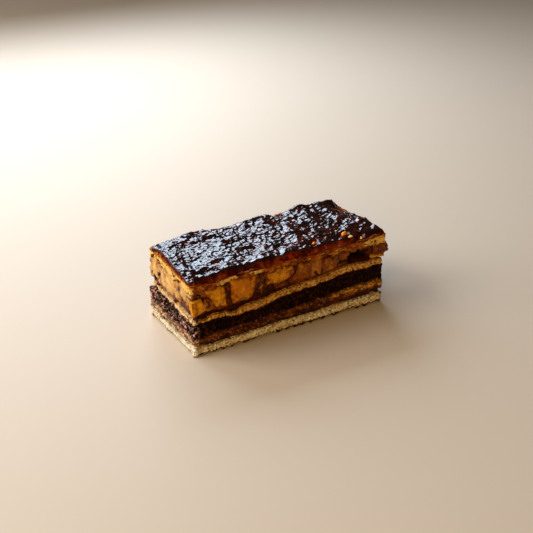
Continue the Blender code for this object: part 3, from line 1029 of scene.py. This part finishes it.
def apple_material():
    """Soaked apple: clouded flesh with a few fibres, browner towards the edge of each
    piece, where the caramel closes round it and painted shade darkens it, and brightened with
    painted light in its middle and on its upper side."""
    cooked, bright, fibre = srgb(120, 54, 4), srgb(214, 148, 34), srgb(104, 44, 3)
    veined, soaked, edge = srgb(84, 32, 3), srgb(124, 56, 4), srgb(48, 14, 2)
    material, tree, shader, place = painted(
        "apple", 0.24, Specular_IOR_Level=0.4, Specular_Tint=AMBER_SHINE,
        Subsurface_Weight=0.3, Subsurface_Scale=2.5 * MM, Subsurface_Radius=(1.0, 0.45, 0.12))
    flesh = put(tree, "ShaderNodeAttribute", attribute_name="flesh")[0]
    syrup = carried(tree, "syrup")
    # Painted light: the flesh is brightened where the piece carries least syrup and shade, in its
    # middle and on its upper side.
    lit_flesh = flesh * between(syrup, 0.0, -0.8, 1.1, 1.6)
    colour = mixed(between(cloud(place, 4.0 * MM, 2.0, 1.0), 0.3, 0.7), lit_flesh, flesh)
    patch = between(cloud(place, 2.6 * MM, 4.0, 9.0), 0.5, 0.72)
    colour = mixed(patch * 0.75, colour, cooked)
    patch = between(cloud(place, 3.0 * MM, 3.0, 12.0, 0.6), 0.52, 0.66)
    colour = mixed(patch * 0.5, colour, bright)
    fibres = cloud(place * (1.0, 1.0, 0.3), 0.8 * MM, 3.0, 2.0)
    colour = mixed(between(fibres, 0.55, 0.72) * 0.35, colour, fibre)
    vein = calc("PINGPONG", cloud(place, 3.4 * MM, 3.0, 3.0, 0.8) * 3.0, 0.5)
    colour = mixed(between(vein, 0.06, 0.0, 0.0, 0.35), colour, veined)
    # This carries the syrup and the painted shade.
    stain_and_shade = cloud(place, 1.6 * MM, 4.0, 6.0) * 0.8 + (syrup - 0.4)
    colour = mixed(between(stain_and_shade, 0.05, 0.6), colour, soaked)
    coloured(shader, mixed(between(stain_and_shade, 0.4, 0.85), colour, edge))
    relief = cloud(place, 2.4 * MM, 2.0, 5.0) * 2.2 + cloud(place, 0.9 * MM, 3.0, 4.0)
    bumped(shader, relief, 0.5 * MM, 0.9)
    return material


cut_piece(apple_pieces(), "apple_filling", apple_material(),
          crag=3.2 * MM, crag_depth=0.4 * MM, clod=1.2 * MM, clod_depth=0.06 * MM, seed=8.0)

# ---- Top pastry ----------------------------------------------------------------------------
# The sheet that closes the cake. It has soaked up glaze from above and syrup from below, so
# only its flakes are still pale.

ROUNDING = 3.2 * MM
SHARP_ROUNDING = 1.4 * MM


def cornered(obj):
    """Rounds the upright corners of a layer, all but the one that the knife left sharp."""
    for vert in obj.data.vertices:
        x, y, _ = vert.co
        corner = SHARP_ROUNDING if x < 0 and y < 0 else ROUNDING
        over_x, over_y = abs(x) + corner - LENGTH / 2, abs(y) + corner - WIDTH / 2
        if over_x > 0 and over_y > 0:
            share = 1 - max(over_x, over_y) / math.hypot(over_x, over_y)
            vert.co.x -= math.copysign(over_x * share, x)
            vert.co.y -= math.copysign(over_y * share, y)
    return obj


# Its pore colour is painted shade.
cut_piece(cornered(layer_copy("top_pastry", cuts=6)), "top_pastry",
          pastry_material("top_pastry", pale=srgb(226, 166, 72), golden=srgb(172, 94, 22),
                          toast_and_shadow=srgb(104, 40, 9), under=0.03, over=0.6,
                          pore_shade=srgb(84, 34, 9), size=0.5 * MM),
          crag=1.8 * MM, crag_depth=0.25 * MM, leaf=1.1 * MM, leaf_depth=0.4 * MM,
          clod=0.8 * MM, clod_depth=0.16 * MM, pit=1.5 * MM, pit_depth=0.4 * MM,
          pit_share=0.25, seed=9.0)

# The crushed edge: how far apart its points are, how many rows it has, how far it stands out,
# how much thinner it is at its foot, and that it runs out over the last fifth
FLAKE_STEP = 0.4 * MM
FLAKE_ROWS = 9
FLAKE_OUT = 0.4 * MM
FLAKE_TAPER = 0.35 * MM
FLAKE_FOOT = 5
# Its ragged tongues: their size and depth, and how much further they all hang
TONGUE_SIZE, TONGUE_DEPTH = 5.5 * MM, 2.6 * MM
TONGUE_SHARE, TONGUE_SHARE_LEFT = 0.2, 0.5
# How far outside the outline the search for the sheet's own face starts
SEARCH = 9 * MM
# An outward direction beyond this counts as facing the front or the left
FACING = -0.7
# Where the glaze stopped short of the sheet: place, reach and rise, in millimetres
BARE = (45.5, -22, 5, 1.4)
# How pale the flakes of the long face are, from 0 to 1, at places along X in millimetres
FLAKE_PALE = ((-50, 0.0), (-39, 0.0), (-36, 1.0), (-30, 0.9), (-27, 0.0), (-23, 0.1),
              (-21, 0.9), (-17, 0.8), (-14, 0.0), (-7, 0.0), (12, 0.1), (27, 0.3), (33, 0.1),
              (39, 0.4), (42, 1.0), (48, 1.0), (50, 0.5))
PALE_ELSEWHERE = 0.95


def lift_at(place, spots):
    """How far these spots, given as place, reach and rise in millimetres, lift a place."""
    lift = 0
    for x, y, reach, rise in spots:
        away = math.dist(place.xy, (x * MM, y * MM)) / (reach * MM)
        lift += rise * MM * math.exp(-away * away)
    return lift


def flaky_edge():
    """The crushed edge of the sheet, a ribbon that hangs raggedly over the apples."""
    skin = skin_of(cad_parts["top_pastry"])
    bm = bmesh.new()
    side_layer, height_layer, pale_layer = layers_of(bm, "side", "height", "pale")
    shares = [row / (FLAKE_ROWS - 1) for row in range(FLAKE_ROWS)]
    outer = [(share, FLAKE_OUT * min(1, (1 - share) * FLAKE_FOOT), 1.0) for share in shares]
    inner = [(share, FLAKE_TAPER * share - FLAKE_OUT, 0.0) for share in reversed(shares)]
    columns = []
    for point, out in rounded_outline(0, ROUNDING, FLAKE_STEP):
        shown = out.y < FACING
        pale = np.interp(point.x / MM, *zip(*FLAKE_PALE)) if shown else PALE_ELSEWHERE
        low = apple_room(point.x, point.y)[1]
        high = height_of(glaze_skin, point.x, point.y, 1) + lift_at(point, [BARE])
        start = point + out * SEARCH
        way = Vector((-out.x, -out.y, 0))
        hit = skin.ray_cast(Vector((start.x, start.y, (low + high) / 2)), way)[0]
        face = Vector((hit.x, hit.y)) if hit else point
        drop = noise.noise(Vector((point.x, point.y, 3 * MM)) / TONGUE_SIZE)
        drop += 0.5 * noise.noise(Vector((point.x, point.y, 9 * MM)) / TONGUE_SIZE * 3)
        drop += TONGUE_SHARE_LEFT if out.x < FACING else TONGUE_SHARE
        low -= TONGUE_DEPTH * max(0.0, drop)
        column = []
        for share, reach, side in outer + inner:
            place = face + out * reach
            vert = bm.verts.new((place.x, place.y, high + (low - high) * share))
            vert[side_layer] = side
            vert[height_layer] = 1 - share
            vert[pale_layer] = pale
            column.append(vert)
        columns.append(column)
    for here in range(len(columns)):
        left, right = columns[here - 1], columns[here]
        for row in range(2 * FLAKE_ROWS):
            bm.faces.new((left[row - 1], left[row], right[row], right[row - 1]))
    bmesh.ops.triangulate(bm, faces=bm.faces)
    bmesh.ops.recalc_face_normals(bm, faces=bm.faces)
    return new_object("flaky_edge", bm)


def flake_material():
    """Soaked pastry in flat streaks, golden brown or pale as its points say, darker towards
    the glaze above it and the syrup below."""
    soaked, golden, flaked = srgb(118, 50, 6), srgb(190, 108, 17), srgb(248, 202, 102)
    glazed, syrup, pore_shade = srgb(78, 24, 4), srgb(106, 44, 5), srgb(84, 34, 8)
    material, tree, shader, place = painted(
        "flaky_edge", 0.4, Specular_IOR_Level=0.25, Specular_Tint=AMBER_SHINE,
        Subsurface_Weight=0.2, Subsurface_Scale=1.5 * MM, Subsurface_Radius=(1.0, 0.5, 0.2))
    _, pores, bumps = effect(tree, crumb, 0.6 * MM)
    streak = cloud(place * (0.3, 0.3, 1.0), 1.1 * MM, 4.0, 3.0)
    height = carried(tree, "height") + swing(place, 1.8 * MM, 0.16, 3.0, 6.0)
    pale = carried(tree, "pale")
    colour = mixed(between(cloud(place, 2.4 * MM, 3.0, 5.0), 0.4, 0.62), soaked, golden)
    share = between(pale * 0.4 + streak, 0.62, 0.78) * between(height, 0.95, 0.65)
    colour = mixed(share, colour, flaked)
    share = between(height, 0.65, 1.0, 0.0, 0.4) * (pale * -0.5 + 1.0)
    colour = mixed(share, colour, glazed)
    colour = mixed(between(height, 0.26, -0.05), colour, syrup)
    # Painted shade in the pores.
    coloured(shader, mixed(pores * 0.7, colour, pore_shade))
    bumped(shader, streak * 1.5 + bumps, 0.4 * MM)
    return material


glaze_skin = skin_of(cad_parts["glaze"])
cut_piece(flaky_edge(), "top_pastry", flake_material(),
          crag=1.6 * MM, crag_depth=0.3 * MM, leaf=0.9 * MM, leaf_depth=0.45 * MM,
          clod=1.0 * MM, clod_depth=0.3 * MM, pit=1.6 * MM, pit_depth=0.5 * MM,
          pit_share=0.4, seed=15.0)

# ---- Glaze ---------------------------------------------------------------------------------
# A dark plum and caramel glaze, poured on hot. It set to a wet, wrinkled skin that stands out
# a little past the cut, and at the edge its body shows maroon.

# The shoulder: how far in it starts, in millimetres, and how far it drops towards the rim
SHOULDER = 2.5
SHOULDER_DROP = 1.5 * MM
# Near the left end the skin stays level right to the edge
LEVEL_END = (-44 * MM, -50 * MM, 0.0, 0.8)
# Size and depth of the slow lumps
LUMPS = (6.5 * MM, 0.5 * MM)
# Where the skin rises or sinks most: place, reach and rise, in millimetres
MOUNDS = (
    (43, 19, 9, 1.7),
    (29, 20, 6, 1.3),
    (46, 21, 4, 0.9),
    (17, 21, 4, -2.0),
    (48, 13, 5.5, -3.6),
    (-50, -12, 7, 1.1),
    (-50, 0, 7, 1.3),
    (-50, 12, 7, 1.4),
    (49, -7, 7, 2.2),
    (48, -19, 5, 0.8),
    (-28, 20, 9, 0.9),
    (-33, 21, 5, 1.3),
    (4, 21, 7, 0.7),
)
# Where it ran down the side before it set: place, reach and fall, in millimetres
RUNS = (
    (-50, 20, 7, 1.6),
    (-16, -22, 5, 0.8),
    (7, -22, 6, 0.7),
    (*BARE[:3], -BARE[3]),
)


def raised(obj):
    """Moves the skin's points up and down by the mounds, and its lower rim by the runs."""
    data = obj.data.attributes
    for vert, height, side in zip(obj.data.vertices, data["height"].data, data["side"].data):
        raise_by = lift_at(vert.co, MOUNDS) * height.value
        sink_by = lift_at(vert.co, RUNS) * (1 - height.value) * side.value
        vert.co.z += raise_by - sink_by
    return obj


def wrinkled_skin_tree():
    """Lumps, wrinkles and a fine crinkle over a poured skin, which sinks towards its rim and
    hangs in short drips."""
    tree, given = new_tree("wrinkled_skin", wrinkle=0.0, wrinkle_depth=0.0, crinkle=0.0,
                           crinkle_depth=0.0, drip=1.0, drip_depth=0.0)
    place = put(tree, "GeometryNodeInputPosition")[0]
    facing = put(tree, "GeometryNodeInputNormal")[0]
    height = named(tree, "height")
    inland = larger(between(named(tree, "inland"), 0.0, SHOULDER),
                    between(parts(place)[0], *LEVEL_END))
    bent = place + drift(place, given["wrinkle"], 1.0, 5.0) * given["wrinkle"]
    folds = cells(bent, given["wrinkle"], 2.0)[0] * given["wrinkle_depth"]
    fine = cells(bent, given["crinkle"], 2.0)[0] * given["crinkle_depth"]
    relief = (folds + fine) * between(height, 0.0, 0.3) * (inland * 0.7 + 0.3)
    flat = place * (1.0, 1.0, 0.2)
    run = between(cloud(flat, given["drip"], 1.0, 4.0), 0.45, 0.75)
    run *= given["drip_depth"] * between(height, 0.7, 0.0) * (named(tree, "side") * -1.0)
    sunk = (inland * SHOULDER_DROP - SHOULDER_DROP) * height
    lumps = swing(flat, *LUMPS, 1.0, 9.0) * height
    moved = place + facing * relief + upward(run + sunk + lumps) + wobbled(place)
    return close_tree(placed(given["Geometry"], Position=moved), given["material"])


# How far in the rim's own colour reaches, in millimetres: from, and to along X
RIM_START = 0.3
RIM_END = (41 * MM, 46 * MM, 2.3, 1.2)
# Where along X the shine comes to reach right to the rim
SHINY_END = (-44 * MM, -49 * MM)
# Where along X the rim is riper, and where it isn't any more
RIPE_START = (8 * MM, 24 * MM, 0.0, 0.45)
RIPE_END = (25 * MM, 31 * MM, 1.0, 0.1)
# A glowing stretch of rim: its middle along X, and its fading half widths
GLOW_X = -2 * MM
GLOW_HALF = (5 * MM, 1 * MM, 0.0, 0.6)
# The thin edge over the left face, in from its end and up to the far corner
THIN_END = (-48 * MM, -49.6 * MM)
THIN_CORNER = (17 * MM, 13 * MM)
# Where along X the fine relief grows deeper
DEEPER = (10 * MM, 40 * MM, 1.0, 1.3)


def glaze_material():
    """Nearly black glaze under a clear coat, maroon round its rim, where the skin is dull,
    and amber where it hangs thin."""
    deep, warm, maroon, ripe = srgb(30, 10, 6), srgb(80, 24, 8), srgb(66, 12, 4), srgb(160, 58, 9)
    glowing, amber, golden = srgb(196, 50, 6), srgb(118, 42, 6), srgb(214, 124, 24)
    ripe_amber = srgb(186, 94, 14)
    material, tree, shader, place = painted("glaze", 0.35, Specular_IOR_Level=0.0,
                                            Coat_Roughness=0.03)
    x, y, _ = parts(place)
    height = carried(tree, "height")
    inland = between(carried(tree, "inland"), RIM_START, between(x, *RIM_END))
    inland = larger(inland, between(x, *SHINY_END)) * between(height, 0.8, 1.0)
    patch = between(cloud(place, 3.0 * MM, 4.0, 1.0), 0.45, 0.7)
    riper = calc("ADD", patch * 0.7, between(x, *RIPE_START), clamp=True)
    riper *= between(x, *RIPE_END)
    glow = between(abs(x - GLOW_X), *GLOW_HALF) * patch
    rim = mixed(glow, mixed(riper, maroon, ripe), glowing)
    end = between(x, *THIN_END) * between(y, *THIN_CORNER)
    thin = mixed(riper, mixed(end, amber, golden), ripe_amber)
    colour = mixed(inland, rim, mixed(patch, deep, warm))
    low = between(height + swing(place, 2.2 * MM, 0.25, 3.0, 6.0), 0.65, 0.15)
    coloured(shader, mixed(low, colour, thin))
    feed(inland * 0.85 + 0.15, shader.inputs["Coat Weight"])
    short = place * (1.35, 1.0, 1.0)
    curl = calc("PINGPONG", cloud(short, 1.6 * MM, 3.0, 4.0, 1.2) * 5.0, 0.5)
    relief = between(curl, 0.0, 0.16) * 0.5 + cloud(short, 0.78 * MM, 2.0, 7.0)
    relief *= inland * 0.75 + 0.25
    bumped(shader, relief * between(x, *DEEPER), 0.37 * MM)
    return material


glaze = raised(cornered(layer_copy("glaze", cuts=10, top_too=True)))
glaze.data = grown(glaze, wrinkled_skin_tree(), glaze_material(), wrinkle=2.2 * MM,
                   wrinkle_depth=0.6 * MM, crinkle=1.0 * MM, crinkle_depth=0.26 * MM,
                   drip=4.0 * MM, drip_depth=1.2 * MM)
finished(glaze, "glaze")

# Crumbs of nut that fell on the glaze before it set: how pale they are, from 0 to 1, place,
# heading in degrees, and length, width and height in millimetres
NUT_CRUMBS = (
    (0.0, 30.9, -17.0, 15, 3.6, 2.0, 1.7),
    (1.0, 32.7, -19.6, -30, 2.1, 1.5, 1.2),
    (0.4, 38.2, -20.6, 50, 1.7, 1.2, 1.0),
    (0.0, 14.2, -17.0, 25, 2.2, 1.3, 1.0),
)
NUT_GROWTH = 0.98
NUT_PITCH, NUT_LUMP = 1.5, 0.4


def nut_crumbs():
    """Lumpy crumbs, each sunk to its middle in the finished glaze."""
    bm = bmesh.new()
    over = skin_of(glaze)
    [tone_layer] = layers_of(bm, "tone")
    for tone, x, y, heading, *sizes in NUT_CRUMBS:
        top = over.ray_cast(Vector((x * MM, y * MM, 1)), Vector((0, 0, -1)))[0].z
        centre = Vector((x * MM, y * MM, top))
        turn = Matrix.Rotation(math.radians(heading), 3, "Z")
        half = Vector([size * MM * NUT_GROWTH / 2 for size in sizes])
        for vert in bmesh.ops.create_icosphere(bm, subdivisions=4, radius=1)["verts"]:
            rough = 1 + NUT_LUMP * noise.noise(vert.co * NUT_PITCH + centre / MM)
            vert.co = centre + turn @ (vert.co * rough * half)
            vert[tone_layer] = tone
    return new_object("nut_crumbs", bm)


def nut_material():
    """Nut, from toasted amber to pale, as each crumb carries it."""
    amber, pale = srgb(244, 146, 8), srgb(248, 212, 140)
    material, tree, shader, _ = painted(
        "nut_crumbs", 0.5, Specular_IOR_Level=0.15, Specular_Tint=AMBER_SHINE,
        Subsurface_Weight=0.2, Subsurface_Scale=1 * MM)
    grain, _, bumps = effect(tree, crumb, 0.6 * MM)
    tone = calc("ADD", grain * 0.2, carried(tree, "tone"), clamp=True)
    coloured(shader, mixed(tone, amber, pale))
    bumped(shader, bumps, 0.15 * MM, 0.7)
    return material


nuts = nut_crumbs()
nuts.data.materials.append(nut_material())
nuts.data.shade_smooth()
finished(nuts, "glaze")

# ---- Floor, light and camera ---------------------------------------------------------------
# A plain pale floor. A large soft light stands behind the slice's left end and gives the
# glaze its shine, and a low warm one fills the long cut face.

FLOOR = 4.0
FLOOR_DROP = 0.05 * MM
STUDIO_LIGHT = 0.1
CAMERA_PLACE = Vector((-0.213305, -0.357767, 0.233805))
CAMERA_AIM = Vector((0.455553, 0.766325, -0.453011))
FOCAL_LENGTH = 67.54
SENSOR_WIDTH = 36


def new_light(name, heading, rise, distance, size, power, colour):
    """A soft light seen from the slice at this heading from +X and rise over the floor, in
    degrees. Its size is its width and height."""
    light = bpy.data.lights.new(name, "AREA")
    light.shape = "RECTANGLE"
    light.size, light.size_y = size
    light.energy = power
    light.color = colour
    lamp = linked(name, light)
    heading, rise = math.radians(heading), math.radians(rise)
    place = Vector((math.cos(heading) * math.cos(rise), math.sin(heading) * math.cos(rise),
                    math.sin(rise))) * distance
    lamp.location = place
    lamp.rotation_euler = place.to_track_quat("Z", "Y").to_euler()


def new_floor():
    """A level sheet with the faintest clouding."""
    bm = bmesh.new()
    bmesh.ops.create_grid(bm, x_segments=2, y_segments=2, size=FLOOR / 2)
    floor = new_object("floor", bm)
    material, _, shader, place = painted("floor", 0.6, Specular_IOR_Level=0.2)
    shade = cloud(place, 0.6, 2.0)
    coloured(shader, mixed(shade, srgb(212, 197, 178), srgb(208, 192, 172)))
    floor.data.materials.append(material)
    floor.location.z = -FLOOR_DROP
    floor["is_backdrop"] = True


new_floor()
new_light("skylight", heading=90, rise=33, distance=0.55, size=(0.5, 0.27), power=3.6,
          colour=(0.72, 0.84, 1.0))
new_light("window", heading=158, rise=36, distance=0.9, size=(0.7, 0.6), power=8.4,
          colour=(1.0, 0.97, 0.94))
new_light("fill", heading=-132, rise=24, distance=1.2, size=(0.5, 0.4), power=5.1,
          colour=(1.0, 0.62, 0.2))

world = bpy.data.worlds.new("studio")
world.use_nodes = True
backdrop = world.node_tree.nodes["Background"]
backdrop.inputs["Color"].default_value = srgb(190, 176, 160)
backdrop.inputs["Strength"].default_value = STUDIO_LIGHT
bpy.context.scene.world = world
bpy.context.scene.view_settings.view_transform = "Standard"

lens = bpy.data.cameras.new("camera")
lens.lens = FOCAL_LENGTH
lens.sensor_width = SENSOR_WIDTH
camera = linked("camera", lens)
camera.location = CAMERA_PLACE
camera.rotation_euler = CAMERA_AIM.to_track_quat("-Z", "Y").to_euler()
bpy.context.scene.camera = camera

visual_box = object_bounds()
boxes = {"cad": cad_box, "visual": visual_box}
{name: [list(corner) for corner in box] for name, box in boxes.items()}
